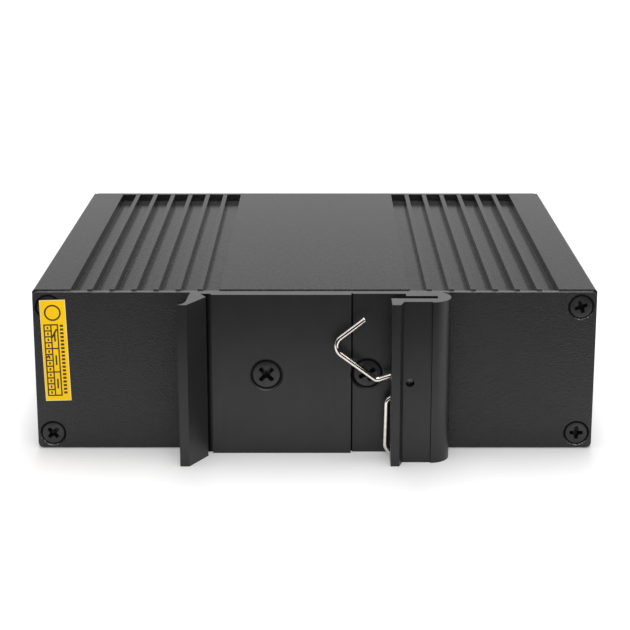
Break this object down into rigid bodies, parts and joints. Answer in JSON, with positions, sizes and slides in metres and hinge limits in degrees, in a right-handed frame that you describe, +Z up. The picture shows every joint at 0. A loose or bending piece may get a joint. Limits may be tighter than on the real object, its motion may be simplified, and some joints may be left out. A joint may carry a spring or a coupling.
{
  "type": "poe splitter",
  "caption": "Flat black extruded case with ribbed faces and end plates; splits network power from data, clips onto a DIN rail by a jaw and a swinging wire spring.",
  "frame": {"origin": "middle of the footprint, on the surface that the case lies on", "axes": "+X across the case, to the right as seen on the clip's side; +Y from the rail clip to the sockets; +Z up"},
  "size_m": [0.104, 0.0986, 0.0307],
  "materials": {
    "case_coat": "fine pebbled black powder coat on an aluminium extrusion",
    "plate_coat": "fine pebbled black powder coat on sheet steel",
    "clip_anodised": "satin black anodised extrusion",
    "black_screw": "black plated steel, slightly worn",
    "bare_steel": "zinc plated",
    "spring_wire": "bright nickel plated spring wire",
    "yellow_sticker": null,
    "board_laminate": "green solder mask",
    "tinned_sheet": "tinned sheet",
    "black_plastic": "moulded",
    "gold_contact": "gold plated",
    "green_plastic": "moulded",
    "led_lens": "clear tinted",
    "soft_pad": "soft, matt",
    "ferrite": "sintered",
    "copper_winding": "enamelled copper"
  },
  "bodies": {
    "case": {"case_tube": "case_coat", "rear_plate": "plate_coat", "front_plate": "plate_coat", "rear_plate_screws": "black_screw", "front_plate_screws": "black_screw", "din_clip": "clip_anodised", "clip_screws": "black_screw", "clip_nuts": "bare_steel", "spring_pin": "black_screw", "seal_sticker": "yellow_sticker", "circuit_board": "board_laminate", "poe_jack_shield": "tinned_sheet", "poe_jack_insert": "black_plastic", "poe_jack_contacts": "gold_contact", "data_jack_shield": "tinned_sheet", "data_jack_insert": "black_plastic", "data_jack_contacts": "gold_contact", "output_header": "green_plastic", "header_pins": "gold_contact", "output_plug": "green_plastic", "status_leds": "led_lens", "led_holder": "black_plastic", "lan_transformer": "black_plastic", "bridge_rectifiers": "black_plastic", "controller_chip": "black_plastic", "power_switch": "black_plastic", "output_rectifier": "black_plastic", "thermal_pad": "soft_pad", "transformer_core": "ferrite", "transformer_bobbin": "black_plastic", "transformer_winding": "copper_winding", "output_capacitor": "black_plastic", "input_capacitor": "black_plastic", "output_choke": "ferrite"},
    "spring": {"clip_spring": "spring_wire"}
  },
  "joints": [
    {"name": "spring_swing", "type": "hinge", "parent": "case", "child": "spring", "pos_m": [0.01731, -0.04439, 0.01535], "axis": [0, -1, 0], "range_deg": [-51.8, 0]}
  ]
}
